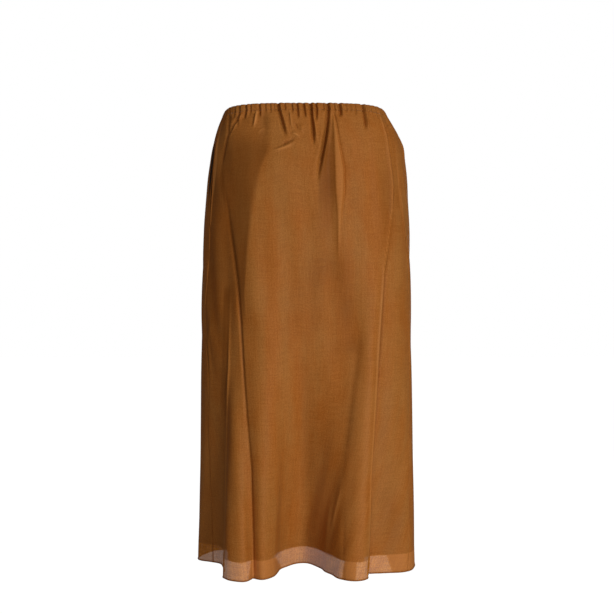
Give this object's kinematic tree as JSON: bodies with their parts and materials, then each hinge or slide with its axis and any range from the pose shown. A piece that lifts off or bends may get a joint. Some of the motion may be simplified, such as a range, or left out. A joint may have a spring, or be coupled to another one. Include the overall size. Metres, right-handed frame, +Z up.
{
  "type": "maxi skirt",
  "caption": "Long gathered skirt in light voile with a shorter lining, a narrow elastic waist casing and in-seam pockets, filled out as worn.",
  "frame": {"origin": "centre of the waist, halfway up the elastic casing, where the wearer holds the skirt up", "axes": "+Z up along the wearer, -Y out of the front, +X to the right of the front as it is looked at"},
  "size_m": [0.419, 0.2975, 0.8645],
  "materials": {
    "outer_cloth": "light plain-weave voile in caramel brown, half sheer, with a slight sheen",
    "casing_cloth": "the same voile, gathered over narrow elastic",
    "lining_cloth": "plain lining in the same brown, matt",
    "pocket_cloth": "the same voile, two plies, in shade"
  },
  "bodies": {
    "root": {"outer_front": "outer_cloth", "outer_back": "outer_cloth", "waist_casing": "casing_cloth", "lining_front": "lining_cloth", "lining_back": "lining_cloth", "pocket_left": "pocket_cloth", "pocket_right": "pocket_cloth"}
  },
  "joints": []
}
